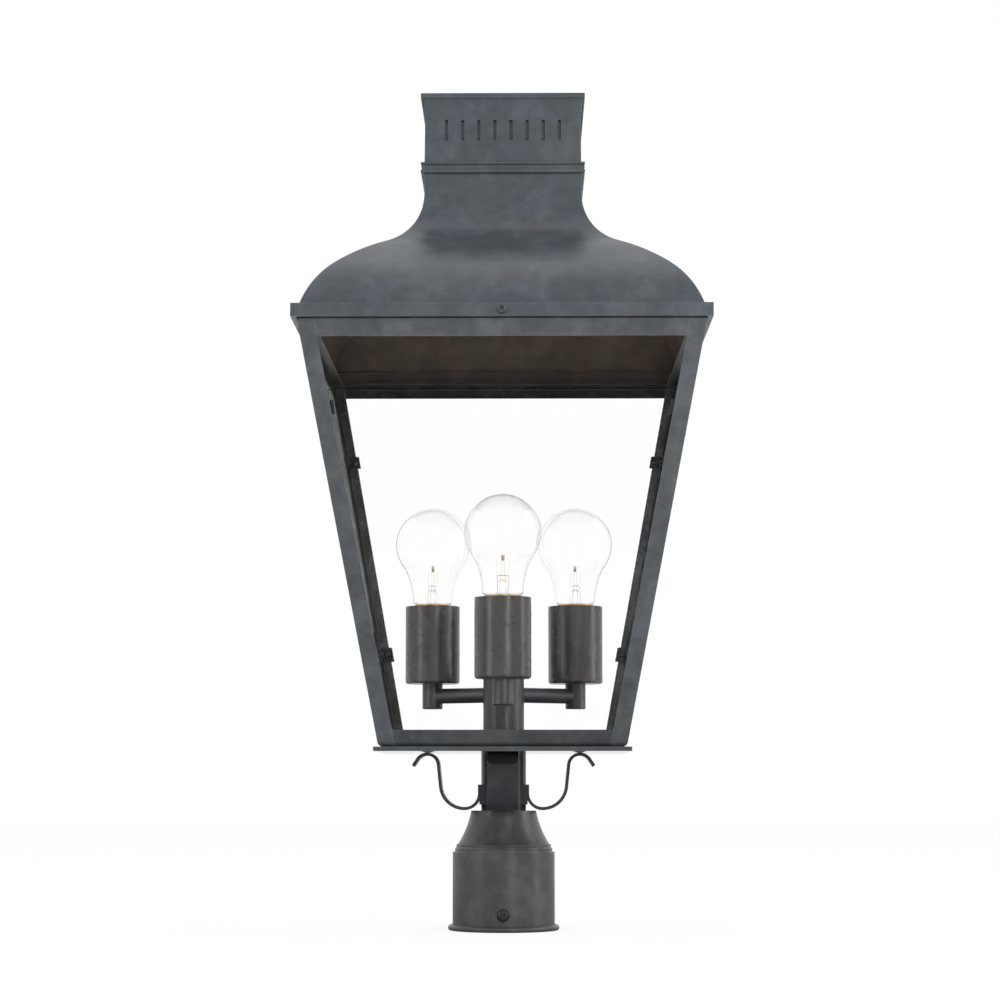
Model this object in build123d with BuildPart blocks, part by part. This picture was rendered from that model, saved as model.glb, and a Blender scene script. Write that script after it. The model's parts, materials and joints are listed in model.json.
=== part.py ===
from build123d import *
import os
from math import cos, radians, sin

os.makedirs("parts", exist_ok=True)

# A square tapered post top lantern with three upright lamps, in millimetres.
# The origin is the centre of the fitter's lower rim, +Z up and the front at -Y.

# Fitter: a round sleeve that drops over the post, and the flared neck on top of it
post_bore = 77.6
fitter_wall = 1.6
sleeve_height = 61.3
stop_ring_width = 8.0
bead_radius = 2.4
bead_bulge = 3.6
bead_flat = 0.4
neck_height = 32.1
neck_foot_inset = 1.8
neck_foot_height = 3.2
neck_foot_taper = 0.6
neck_ring_radius = 0.8
lower_ring_rise = 1.9
upper_ring_turn = 0.07
flare_sag = 1.65
neck_top_radius = 25.8

# Set screws round the sleeve
set_screw_height = 13.1
set_screw_radius = 2.5
set_screw_head_radius = 4.25
set_screw_head_height = 2.6
set_screw_standoff = 0.7
dimple_radius = 4.5
dimple_depth = 0.8
set_screw_recoil = 0.1

# What all pan-head screws share, and the running fit round pipes and screws
head_round_share = 0.55
recess_width_share = 0.2
recess_length_share = 0.62
recess_depth_share = 0.5
recess_turn = 45.0
running_clearance = 0.1

# Column between the fitter and the cage, and the threaded pipe through it
column_radius = 17.8
column_wall = 1.5
column_length = 45.8
pipe_radius = 6.5
pipe_wall = 1.6
pipe_reach = 3.0
nut_width = 20.0
nut_height = 5.0

# Scroll brackets: flat strip bent in one plane, with a saddle against the column
strip_width = 24.0
strip_thick = 2.4
strip_foot_drop = 25.2
strip_foot_length = 7.0
saddle_height = 15.7
saddle_depth = 4.9
foot_bend_radius = 11.9
belly_bend_radius = 19.0
belly_turn = 84.0
crest_bend_radius = 9.0
crest_turn = 140.0
scroll_tip_length = 6.5
scroll_tip_round = 4.0
scroll_clearance = 0.05

# Base plate
plate_thick = 3.4
plate_reach = 3.8
plate_corner = 1.5

# Cage: a square frame of bent sheet that widens upwards
cage_height = 318.4
cage_foot_half = 94.4
cage_head_half = 153.9
cage_wall = 1.5
post_width = 12.7
foot_rail_height = 12.7
head_rail_height = 12.7
window_foot_round = 2.5
cage_bend = 4.0
seat_inset = 1.5

# Panes of glass, and the clips that hold them in the corners
pane_thick = 3.05
pane_gap = 0.05
pane_corner_gap = 1.3
pane_foot_gap = 0.4
pane_head_gap = 3.5
clip_thick = 1.2
clip_gap = 0.2
clip_heel_gap = 0.1
clip_reach = 2.7
upper_clip_height = 10.5
lower_clip_height = 12.0
back_clip_rise = 247.6
front_clip_rise = 254.0
lower_clip_rise = 80.2
clip_screw_radius = 1.4
clip_screw_head_radius = 2.75
clip_screw_head_height = 1.8
clip_screw_gap = 0.03

# Lamp cluster: column, arms, hubs and the covered lampholders
cluster_radius = 16.3
cluster_wall = 1.5
cluster_height = 54.4
cap_thick = 4.0
cap_round = 2.5
lamp_circle = 67.0
arm_radius = 6.05
arm_wall = 1.4
arm_rise = 42.7
arm_overrun = 1.8
arm_clearance = 0.05
hub_radius = 8.2
hub_above_arm = 10.0
hub_below_arm = 10.3
hub_round = 1.0
wire_hole_radius = 3.0
cover_radius = 22.0
cover_height = 62.7
cover_wall = 1.2
cover_floor = 1.5
cover_round = 2.2
holder_radius = 18.5
holder_rim_drop = 4.0
holder_floor = 29.0
shell_radius = 14.4
shell_wall = 0.7
shell_rim_drop = 1.5
contact_radius = 3.0
contact_height = 2.4

# Clear bulbs: pear-shaped glass on a screw base, with a stem that carries the filament
bulb_radius = 30.15
bulb_centre_rise = 50.75
glass_wall = 0.8
glass_neck_radius = 16.2
glass_neck_rise = 4.8
glass_mouth_radius = 13.0
base_radius = 12.9
base_rim_drop = 1.6
base_skirt = 4.0
thread_pitch = 3.63
thread_ridge = 0.35
thread_turns = 5
base_cone_height = 4.0
base_cone_radius = 6.5
base_tip_radius = 4.6
base_tip_height = 0.9
contact_gap = 0.3
stem_radius = 4.5
stem_flare_radius = 10.5
stem_flare_height = 5.0
stem_height = 17.6
lead_radius = 0.45
lead_spread = 3.6
lead_height = 13.0
filament_radius = 0.7
filament_sag = 2.5

# Roof: four ogee panels that stand on a square eave band
seat_gap = 0.3
eave_reach = 6.0
eave_height = 10.2
eave_wall = 1.5
eave_lift = 1.0
eave_lip_gap = 2.2
roof_foot_inset = 5.9
eave_ledge_reach = 4.0
roof_height = 127.3
roof_wall = 1.2
throat_length = 19.5
hollow_radius = 50.0
hollow_turn = 63.6
bell_radius = 177.0
bell_turn = 14.3
roof_screw_rise = 5.6
roof_screw_radius = 2.0
roof_screw_head_radius = 3.9
roof_screw_head_height = 2.4
roof_screw_gap = 0.3
screw_head_gap = 0.1

# Chimney on the roof, with the ribbed band that covers their joint and a lid
chimney_height = 59.5
chimney_wall_thick = 1.2
chimney_foot_half = 62.2
chimney_waist_half = 61.9
chimney_waist_rise = 31.5
chimney_flare = 2.1
slot_count = 8
slot_pitch = 12.8
slot_width = 2.9
slot_length = 17.2
slot_drop = 28.6
band_thick = 2.8
band_gap = 0.1
band_cover = 4.1
lower_rib_height = 2.9
band_groove_height = 3.9
upper_rib_height = 2.1
band_groove_depth = 1.9
band_round = 0.9
lid_skirt = 2.7
lid_thick = 1.2
lid_skirt_wall = 1.0
lid_gap = 0.2
lid_round = 0.6

# Levels, from the fitter's rim up
neck_top = sleeve_height + neck_height
plate_foot = neck_top + column_length
plate_top = plate_foot + plate_thick
cage_head = plate_top + cage_height
cluster_top = plate_top + cluster_height
cap_top = cluster_top + cap_thick
arm_level = plate_top + arm_rise
hub_top = arm_level + hub_above_arm
hub_foot = arm_level - hub_below_arm
cover_rim = hub_top + cover_height
holder_foot = hub_top + cover_floor
holder_rim = cover_rim - holder_rim_drop
well_floor = holder_foot + holder_floor
shell_rim = holder_rim - shell_rim_drop
base_rim = cover_rim - base_rim_drop
base_tip = well_floor + contact_height + contact_gap
bulb_centre = cover_rim + bulb_centre_rise
eave_foot = cage_head + eave_lift
eave_top = eave_foot + eave_height
ledge_foot = eave_top - eave_wall
seat_top = ledge_foot - seat_gap
roof_screw_level = eave_foot + roof_screw_rise
roof_top = eave_top + roof_height
chimney_top = roof_top + chimney_height
lid_top = chimney_top + lid_thick

# Radii and half widths that several pieces share
sleeve_radius = post_bore / 2 + fitter_wall
neck_foot_radius = sleeve_radius - neck_foot_inset
pipe_hole_radius = pipe_radius + running_clearance
cage_slope = (cage_head_half - cage_foot_half) / cage_height
pane_outside = cage_wall + pane_gap
pane_inside = pane_outside + pane_thick
pane_side_inset = pane_inside + pane_corner_gap
seat_half = cage_head_half - seat_inset
eave_half = seat_half + eave_reach
roof_foot_half = eave_half - roof_foot_inset

# Where the pieces that repeat are turned to, in degrees about the vertical axis
side_turns = {"right": 0, "back": 90, "left": 180, "front": 270}
corner_turns = {"back_right": 0, "back_left": 90, "front_left": 180, "front_right": 270}
lamp_turns = {"front": 270, "right": 30, "left": 150}


def write(piece, name):
    piece.label = name
    export_step(piece, f"parts/{name}.step")


# One copy of a piece for each place that it is turned to
def write_turned(piece, stem, turns):
    for place, turn in turns.items():
        with BuildPart() as copy:
            add(piece, rotation=(0, 0, turn))
        write(copy.part, f"{stem}_{place}")


# Half the outer width of the cage at a level
def cage_half(level):
    return cage_foot_half + cage_slope * (level - plate_top)


# One side of a square ring: its section, drawn on the right, mitred at both ends
def mitred_side(section):
    with BuildPart() as side:
        extrude(section, amount=eave_half, both=True)
        with BuildSketch():
            Polygon((0, 0), (eave_half, -eave_half), (eave_half, eave_half), align=None)
        extrude(amount=lid_top, mode=Mode.INTERSECT)
    return side.part


# A square ring from its right-hand side
def square_ring(side):
    with BuildPart() as ring:
        for turn in side_turns.values():
            add(side, rotation=(0, 0, turn))
    return ring.part


# A pan-head screw that points down, with the underside of its head at the origin
def pan_screw(head_radius, head_height, shank_radius, shank_length):
    with BuildPart() as screw:
        Cylinder(head_radius, head_height, align=(Align.CENTER, Align.CENTER, Align.MIN))
        fillet(screw.edges().group_by(Axis.Z)[-1], head_height * head_round_share)
        recess_length = 2 * head_radius * recess_length_share
        recess_width = recess_length * recess_width_share
        with BuildSketch(Plane.XY.offset(head_height)):
            Rectangle(recess_length, recess_width, rotation=recess_turn)
            Rectangle(recess_width, recess_length, rotation=recess_turn)
        extrude(amount=-head_height * recess_depth_share, mode=Mode.SUBTRACT)
        Cylinder(shank_radius, shank_length, align=(Align.CENTER, Align.CENTER, Align.MAX))
    return screw.part


# Fitter sleeve: a tube with a rolled bead at its foot, an inward stop ring at its head,
# and a 45 degree dimple round each set screw
with BuildPart() as post_sleeve:
    with BuildSketch(Plane.XZ):
        with Locations((sleeve_radius + bead_bulge - bead_radius, bead_radius - bead_flat)):
            Circle(bead_radius)
        with Locations((0, 0)):
            Rectangle(sleeve_radius, sleeve_height, align=(Align.MIN, Align.MIN))
            Rectangle(
                sleeve_radius + bead_bulge,
                bead_radius,
                align=(Align.MIN, Align.MAX),
                mode=Mode.SUBTRACT,
            )
            Rectangle(
                post_bore / 2,
                sleeve_height - fitter_wall,
                align=(Align.MIN, Align.MIN),
                mode=Mode.SUBTRACT,
            )
            Rectangle(
                post_bore / 2 - stop_ring_width,
                sleeve_height,
                align=(Align.MIN, Align.MIN),
                mode=Mode.SUBTRACT,
            )
    revolve(axis=Axis.Z)
    fillet(post_sleeve.edges().group_by(Axis.Z)[-1].sort_by(SortBy.RADIUS)[-1], fitter_wall / 2)
    with Locations((0, 0, set_screw_height)):
        for turn in lamp_turns.values():
            with PolarLocations(0, 1, start_angle=turn):
                Cylinder(
                    set_screw_radius + running_clearance,
                    sleeve_radius,
                    rotation=(0, 90, 0),
                    align=(Align.CENTER, Align.CENTER, Align.MIN),
                    mode=Mode.SUBTRACT,
                )
            with PolarLocations(sleeve_radius - dimple_depth, 1, start_angle=turn):
                Cone(
                    dimple_radius,
                    dimple_radius + 2 * dimple_depth,
                    2 * dimple_depth,
                    rotation=(0, 90, 0),
                    align=(Align.CENTER, Align.CENTER, Align.MIN),
                    mode=Mode.SUBTRACT,
                )
write(post_sleeve.part, "post_sleeve")

# Fitter neck: a spun bell with two fine rings at its foot, closed at the top but for the pipe's hole
with BuildPart() as fitter_neck:
    with BuildSketch(Plane.XZ):
        flare_foot = sleeve_height + neck_foot_height
        flare_foot_radius = neck_foot_radius - neck_foot_taper
        with BuildLine():
            collar = Polyline(
                (0, sleeve_height),
                (neck_foot_radius, sleeve_height),
                (flare_foot_radius, flare_foot),
            )
            flare = SagittaArc(collar @ 1, (neck_top_radius, neck_top), flare_sag)
            Polyline(flare @ 1, (0, neck_top), (0, sleeve_height))
        make_face()
        with Locations((flare_foot_radius, sleeve_height + lower_ring_rise), flare @ upper_ring_turn):
            Circle(neck_ring_radius)
        with BuildLine():
            ceiling = neck_top - fitter_wall
            lining = Polyline(
                (0, sleeve_height),
                (neck_foot_radius - fitter_wall, sleeve_height),
                (flare_foot_radius - fitter_wall, flare_foot),
            )
            lining_flare = SagittaArc(lining @ 1, (neck_top_radius - fitter_wall, ceiling), flare_sag)
            Polyline(lining_flare @ 1, (0, ceiling), (0, sleeve_height))
        make_face(mode=Mode.SUBTRACT)
        Rectangle(pipe_hole_radius, neck_top, align=(Align.MIN, Align.MIN), mode=Mode.SUBTRACT)
    revolve(axis=Axis.Z)
write(fitter_neck.part, "fitter_neck")

# Lower column, a plain tube from the neck to the plate
with BuildPart() as lower_column:
    with BuildSketch(Plane.XY.offset(neck_top)):
        Circle(column_radius)
        Circle(column_radius - column_wall, mode=Mode.SUBTRACT)
    extrude(amount=column_length)
write(lower_column.part, "lower_column")

# Threaded pipe that ties the neck, the plate and the cluster together, and its nuts
nut_feet = [neck_top - fitter_wall - nut_height, plate_top, cap_top]
with BuildPart() as threaded_pipe:
    with BuildSketch(Plane.XY.offset(nut_feet[0] - pipe_reach)):
        Circle(pipe_radius)
        Circle(pipe_radius - pipe_wall, mode=Mode.SUBTRACT)
    extrude(amount=cap_top + nut_height - nut_feet[0] + 2 * pipe_reach)
write(threaded_pipe.part, "threaded_pipe")

with BuildPart() as lock_nuts:
    for level in nut_feet:
        with BuildSketch(Plane.XY.offset(level)):
            RegularPolygon(nut_width / 2, 6, major_radius=False)
            Circle(pipe_hole_radius, mode=Mode.SUBTRACT)
        extrude(amount=nut_height)
write(lock_nuts.part, "lock_nuts")

# Scroll bracket: down the column, out round the belly, up to the plate and over the crest
strip_axis = column_radius + scroll_clearance + strip_thick / 2
strip_top = plate_foot - strip_foot_drop
crest_top = plate_foot - scroll_clearance - strip_thick / 2
with BuildPart() as scroll:
    with BuildSketch(Plane.XZ):
        with BuildLine():
            foot = Line((strip_axis, strip_top), (strip_axis, strip_top - strip_foot_length))
            foot_bend = JernArc(foot @ 1, foot % 1, foot_bend_radius, 90)
            belly = JernArc(foot_bend @ 1, foot_bend % 1, belly_bend_radius, belly_turn)
            crest_rise = crest_bend_radius * (1 - cos(radians(belly_turn)))
            riser_length = (crest_top - crest_rise - (belly @ 1).Y) / sin(radians(belly_turn))
            riser = PolarLine(belly @ 1, riser_length, belly_turn)
            crest = JernArc(riser @ 1, riser % 1, crest_bend_radius, -crest_turn)
            PolarLine(crest @ 1, scroll_tip_length, belly_turn - crest_turn)
        trace(line_width=strip_thick)
    extrude(amount=strip_width / 2, both=True)
    tip_corners = scroll.edges().filter_by(lambda edge: abs(edge.length - strip_thick) < scroll_clearance)
    fillet(tip_corners.sort_by(Axis.X)[-2:], scroll_tip_round)
    with BuildSketch(Plane.XY.offset(strip_top - saddle_height)):
        with Locations((strip_axis, 0)):
            Rectangle(saddle_depth + strip_thick, strip_width, align=(Align.MAX, Align.CENTER))
    extrude(amount=saddle_height)
    with BuildSketch(Plane.XY.offset(neck_top)):
        Circle(column_radius + scroll_clearance)
    extrude(amount=column_length, mode=Mode.SUBTRACT)
write_turned(scroll.part, "scroll", side_turns)

# Base plate
plate_side = 2 * (cage_foot_half + plate_reach)
with BuildPart() as base_plate:
    with BuildSketch(Plane.XY.offset(plate_foot)):
        RectangleRounded(plate_side, plate_side, plate_corner)
        Circle(pipe_hole_radius, mode=Mode.SUBTRACT)
    extrude(amount=plate_thick)
write(base_plate.part, "base_plate")

# The cage's sheet as one shell, which the posts and rails are cut from
hollow_foot = plate_top + cage_wall
hollow_head = cage_head - cage_wall
with BuildPart() as cage_hollow:
    for level in (hollow_foot, hollow_head):
        with BuildSketch(Plane.XY.offset(level)):
            Rectangle(2 * (cage_half(level) - cage_wall), 2 * (cage_half(level) - cage_wall))
    loft()
    fillet(cage_hollow.edges().group_by(Axis.Z)[0], cage_bend - cage_wall)

with BuildPart() as cage_shell:
    for level in (plate_top, cage_head):
        with BuildSketch(Plane.XY.offset(level)):
            Rectangle(2 * cage_half(level), 2 * cage_half(level))
    loft()
    fillet(cage_shell.edges().group_by(Axis.Z)[0], cage_bend)
    add(cage_hollow.part, mode=Mode.SUBTRACT)
    for level, face_half in ((plate_top, cage_foot_half), (hollow_head, cage_head_half)):
        with BuildSketch(Plane.XY.offset(level)):
            Rectangle(2 * (face_half - post_width), 2 * (face_half - post_width))
        extrude(amount=cage_wall, mode=Mode.SUBTRACT)

# Corner posts
with BuildPart() as corner_post:
    for level in (plate_top, cage_head):
        with BuildSketch(Plane.XY.offset(level)):
            with Locations((cage_half(level), cage_half(level))):
                Rectangle(post_width, post_width, align=(Align.MAX, Align.MAX))
    loft()
    add(cage_shell.part, mode=Mode.INTERSECT)
write_turned(corner_post.part, "post", corner_turns)


# The window in each side of the cage, seen from the right, with rounded lower corners
window_foot = plate_top + foot_rail_height
window_head = cage_head - head_rail_height
with BuildSketch(Plane.YZ) as window:
    foot_half = cage_half(window_foot) - post_width
    head_half = cage_half(window_head) - post_width
    Polygon(
        (-foot_half, window_foot),
        (foot_half, window_foot),
        (head_half, window_head),
        (-head_half, window_head),
        align=None,
    )
    fillet(window.vertices().group_by(Axis.Y)[0], window_foot_round)


# A rail between two corner posts, from one level to another, less the window
def cage_rail(low, high):
    with BuildPart() as rail:
        for level in (low, high):
            with BuildSketch(Plane.XY.offset(level)):
                with Locations((cage_half(level), 0)):
                    span = 2 * (cage_half(level) - post_width)
                    Rectangle(post_width, span, align=(Align.MAX, Align.CENTER))
        loft()
        add(cage_shell.part, mode=Mode.INTERSECT)
        extrude(window.sketch, amount=eave_half, mode=Mode.SUBTRACT)
    return rail.part


write_turned(cage_rail(plate_top, window_foot + 2 * window_foot_round), "bottom_rail", side_turns)
write_turned(cage_rail(window_head, cage_head), "top_rail", side_turns)

# Roof seat: an upright collar on the cage that the roof drops over
with BuildSketch(Plane.XZ) as seat_section:
    with Locations((seat_half, cage_head)):
        Rectangle(cage_wall, seat_top - cage_head, align=(Align.MAX, Align.MIN))
write(square_ring(mitred_side(seat_section.sketch)), "roof_seat")

# Panes
with BuildPart() as pane:
    for level in (plate_top + cage_bend + pane_foot_gap, hollow_head - pane_head_gap):
        with BuildSketch(Plane.XY.offset(level)):
            with Locations((cage_half(level) - pane_outside, 0)):
                span = 2 * (cage_half(level) - pane_side_inset)
                Rectangle(pane_thick, span, align=(Align.MAX, Align.CENTER))
    loft()
write_turned(pane.part, "pane", side_turns)

# Glass clips: a heel in the corner and an arm over each pane, with a screw through each arm
heel_near = cage_wall + clip_heel_gap
heel_side = pane_side_inset - clip_gap - heel_near
arm_near = pane_inside + clip_gap
arm_far = arm_near + clip_thick
arm_length = post_width + clip_reach - arm_near
screw_inset = (arm_far + post_width + clip_reach) / 2
lean = Vector(cage_slope, cage_slope, 1)


# The two places of a clip's screws, on the arms' inner faces
def clip_screw_planes(level):
    corner = cage_half(level)
    return [
        Plane((corner - arm_far, corner - screw_inset, level), z_dir=(-1, 0, cage_slope)),
        Plane((corner - screw_inset, corner - arm_far, level), z_dir=(0, -1, cage_slope)),
    ]


clip_screw = pan_screw(
    clip_screw_head_radius,
    clip_screw_head_height,
    clip_screw_radius,
    clip_thick + clip_gap - clip_screw_gap,
)


# One clip and its two screws, at a height above the plate
def corner_clip(rise, height):
    clip_level = plate_top + rise
    clip_foot = clip_level - height / 2
    with BuildPart() as clip:
        with BuildSketch(Plane.XY.offset(clip_foot)):
            foot_corner = cage_half(clip_foot)
            with Locations((foot_corner - heel_near, foot_corner - heel_near)):
                Rectangle(heel_side, heel_side, align=(Align.MAX, Align.MAX))
            with Locations((foot_corner - arm_near, foot_corner - arm_near)):
                Rectangle(arm_length, clip_thick, align=(Align.MAX, Align.MAX))
                Rectangle(clip_thick, arm_length, align=(Align.MAX, Align.MAX))
        extrude(amount=height * lean.length, dir=lean)
        with Locations(*clip_screw_planes(clip_level)):
            Cylinder(clip_screw_radius + running_clearance, 2 * arm_far, mode=Mode.SUBTRACT)
    with BuildPart() as clip_screws:
        with Locations(*clip_screw_planes(clip_level)):
            add(clip_screw)
    return clip.part, clip_screws.part


lower_clip = corner_clip(lower_clip_rise, lower_clip_height)
back_clip = corner_clip(back_clip_rise, upper_clip_height)
front_clip = corner_clip(front_clip_rise, upper_clip_height)
clips_in_corner = {
    "back_right": (back_clip, lower_clip),
    "back_left": (back_clip, lower_clip),
    "front_left": (front_clip, lower_clip),
    "front_right": (front_clip, lower_clip),
}
for index, name in enumerate(("glass_clips", "clip_screws")):
    with BuildPart() as in_corners:
        for corner, turn in corner_turns.items():
            for pieces in clips_in_corner[corner]:
                add(pieces[index], rotation=(0, 0, turn))
    write(in_corners.part, name)

# Cluster column, with a hole for each arm
with BuildPart() as cluster_column:
    with BuildSketch(Plane.XY.offset(plate_top)):
        Circle(cluster_radius)
        Circle(cluster_radius - cluster_wall, mode=Mode.SUBTRACT)
    extrude(amount=cluster_height)
    with Locations((0, 0, arm_level)):
        for turn in lamp_turns.values():
            with PolarLocations(0, 1, start_angle=turn):
                Cylinder(
                    arm_radius + arm_clearance,
                    2 * cluster_radius,
                    rotation=(0, 90, 0),
                    align=(Align.CENTER, Align.CENTER, Align.MIN),
                    mode=Mode.SUBTRACT,
                )
write(cluster_column.part, "cluster_column")

# Cap that closes the cluster column
with BuildPart() as column_cap:
    with BuildSketch(Plane.XY.offset(cluster_top)):
        Circle(cluster_radius)
    extrude(amount=cap_thick)
    fillet(column_cap.edges().group_by(Axis.Z)[-1], cap_round)
    with BuildSketch(Plane.XY.offset(cluster_top)):
        Circle(pipe_hole_radius)
    extrude(amount=cap_thick, mode=Mode.SUBTRACT)
write(column_cap.part, "column_cap")

# Arms: tubes from inside the column out to the hubs, shaped to the hubs' sides
arm_start = cluster_radius - cluster_wall - arm_overrun
with BuildPart() as lamp_arm:
    with BuildSketch(Plane.YZ.offset(arm_start)):
        with Locations((0, arm_level)):
            Circle(arm_radius)
            Circle(arm_radius - arm_wall, mode=Mode.SUBTRACT)
    extrude(amount=lamp_circle - arm_start)
    with BuildSketch(Plane.XY.offset(hub_foot)):
        with Locations((lamp_circle, 0)):
            Circle(hub_radius + arm_clearance)
    extrude(amount=hub_top - hub_foot, mode=Mode.SUBTRACT)

# Hubs: upright posts at the arms' ends, bored for the wires
with BuildPart() as arm_hub:
    with BuildSketch(Plane.XY.offset(hub_foot)):
        with Locations((lamp_circle, 0)):
            Circle(hub_radius)
    extrude(amount=hub_top - hub_foot)
    fillet(arm_hub.edges().group_by(Axis.Z)[0], hub_round)
    with BuildSketch(Plane.XY.offset(arm_level)):
        with Locations((lamp_circle, 0)):
            Circle(wire_hole_radius)
    extrude(amount=hub_above_arm, mode=Mode.SUBTRACT)
    with BuildSketch(Plane.YZ.offset(arm_start)):
        with Locations((0, arm_level)):
            Circle(wire_hole_radius)
    extrude(amount=lamp_circle - arm_start, mode=Mode.SUBTRACT)

# Socket cover: an open cup with a rounded foot
with BuildPart() as socket_cover:
    with BuildSketch(Plane.XY.offset(hub_top)):
        with Locations((lamp_circle, 0)):
            Circle(cover_radius)
    extrude(amount=cover_height)
    fillet(socket_cover.edges().group_by(Axis.Z)[0], cover_round)
    with BuildSketch(Plane.XY.offset(holder_foot)):
        with Locations((lamp_circle, 0)):
            Circle(cover_radius - cover_wall)
    extrude(amount=cover_height, mode=Mode.SUBTRACT)
    with BuildSketch(Plane.XY.offset(hub_top)):
        with Locations((lamp_circle, 0)):
            Circle(wire_hole_radius)
    extrude(amount=cover_floor, mode=Mode.SUBTRACT)
write_turned(socket_cover.part, "socket_cover", lamp_turns)

# Lampholder body, with the well for the bulb's base
with BuildPart() as lampholder:
    with BuildSketch(Plane.XY.offset(holder_foot)):
        with Locations((lamp_circle, 0)):
            Circle(holder_radius)
    extrude(amount=holder_rim - holder_foot)
    with BuildSketch(Plane.XY.offset(well_floor)):
        with Locations((lamp_circle, 0)):
            Circle(shell_radius + running_clearance)
    extrude(amount=holder_rim - well_floor, mode=Mode.SUBTRACT)

# Screw shell that lines the well, and the contact on its floor
with BuildPart() as screw_shell:
    with BuildSketch(Plane.XY.offset(well_floor)):
        with Locations((lamp_circle, 0)):
            Circle(shell_radius)
            Circle(shell_radius - shell_wall, mode=Mode.SUBTRACT)
    extrude(amount=shell_rim - well_floor)
    with BuildSketch(Plane.XY.offset(well_floor)):
        with Locations((lamp_circle, 0)):
            Circle(contact_radius)
    extrude(amount=contact_height)

lamp_groups = {
    "lamp_arms": lamp_arm.part,
    "arm_hubs": arm_hub.part,
    "lampholders": lampholder.part,
    "screw_shells": screw_shell.part,
}
for name, piece in lamp_groups.items():
    with BuildPart() as lamp_group:
        for turn in lamp_turns.values():
            add(piece, rotation=(0, 0, turn))
    write(lamp_group.part, name)


# A pear outline closed on the axis, so deep inside the glass: a ball that runs into a waisted neck,
# and a round shoulder down to the mouth
def pear_outline(depth):
    ball_radius = bulb_radius - depth
    neck_radius = glass_neck_radius - depth
    mouth_radius = glass_mouth_radius - depth
    neck_level = cover_rim + glass_neck_rise + depth
    rise = bulb_centre - neck_level
    waist_radius = (neck_radius**2 + rise**2 - ball_radius**2) / (2 * (ball_radius - neck_radius))
    share = ball_radius / (ball_radius + waist_radius)
    join = (share * (neck_radius + waist_radius), bulb_centre - share * rise)
    with BuildLine() as outline:
        mouth = Line((0, base_rim), (mouth_radius, base_rim))
        mouth_side = Line(mouth @ 1, (mouth_radius, neck_level - (neck_radius - mouth_radius)))
        shoulder = TangentArc(mouth_side @ 1, (neck_radius, neck_level), tangent=(1, 0))
        waist = TangentArc(shoulder @ 1, join, tangent=(0, 1))
        ball = TangentArc(waist @ 1, (0, bulb_centre + ball_radius), tangent=waist % 1)
        Line(ball @ 1, mouth @ 0)
    return outline.line


# Bulb glass, blown to one thickness
with BuildPart() as bulb_glass:
    with BuildSketch(Plane.XZ):
        make_face(pear_outline(0))
        make_face(pear_outline(glass_wall), mode=Mode.SUBTRACT)
    revolve(axis=Axis.Z)

# Bulb base: a skirt, thread ridges, an insulator cone and a contact tip
with BuildPart() as bulb_base:
    cone_top = base_tip + base_tip_height + base_cone_height
    with BuildSketch(Plane.XZ):
        Polygon(
            (0, base_tip),
            (base_tip_radius, base_tip),
            (base_tip_radius, base_tip + base_tip_height),
            (base_cone_radius, base_tip + base_tip_height),
            (base_radius, cone_top),
            (base_radius, base_rim),
            (0, base_rim),
            align=None,
        )
        for ridge in range(thread_turns):
            with Locations((base_radius, base_rim - base_skirt - ridge * thread_pitch)):
                Ellipse(thread_ridge, thread_pitch / 2)
    revolve(axis=Axis.Z)

# Stem with its flare, two leads and the filament between them
with BuildPart() as filament:
    stem_top = base_rim + stem_height
    with BuildSketch(Plane.XZ):
        with BuildLine():
            flare_side = Line((stem_flare_radius, base_rim), (stem_radius, base_rim + stem_flare_height))
            Polyline(flare_side @ 1, (stem_radius, stem_top), (0, stem_top), (0, base_rim), flare_side @ 0)
        make_face()
    revolve(axis=Axis.Z)
    for side in (-1, 1):
        with BuildSketch(Plane.XY.offset(stem_top)):
            with Locations((0, side * lead_spread)):
                Circle(lead_radius)
        extrude(amount=lead_height)
    with BuildLine() as filament_path:
        lead_top = stem_top + lead_height
        ThreePointArc(
            (0, -lead_spread, lead_top),
            (0, 0, lead_top - filament_sag),
            (0, lead_spread, lead_top),
        )
    with BuildSketch(Plane(filament_path.line @ 0, z_dir=filament_path.line % 0)):
        Circle(filament_radius)
    sweep(path=filament_path.line)

for stem, piece in (("bulb_glass", bulb_glass), ("bulb_base", bulb_base), ("filament", filament)):
    with BuildPart() as on_circle:
        with Locations((lamp_circle, 0)):
            add(piece.part)
    write_turned(on_circle.part, stem, lamp_turns)

# Roof panels: a straight throat, a hollow curve, then a full bell down to the eave
with BuildSketch(Plane.XZ) as roof_section:
    with BuildLine():
        throat = Line((chimney_foot_half, roof_top), (chimney_foot_half, roof_top - throat_length))
        hollow = JernArc(throat @ 1, throat % 1, hollow_radius, hollow_turn)
        bell = JernArc(hollow @ 1, hollow % 1, bell_radius, -bell_turn)
        TangentArc(bell @ 1, (roof_foot_half, eave_top), tangent=bell % 1)
        offset(amount=roof_wall, side=Side.RIGHT)
    make_face()
    with Locations((roof_foot_half, eave_top)):
        Rectangle(roof_foot_half, eave_height, align=(Align.CENTER, Align.MAX), mode=Mode.SUBTRACT)
write_turned(mitred_side(roof_section.sketch), "roof_panel", side_turns)

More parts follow.
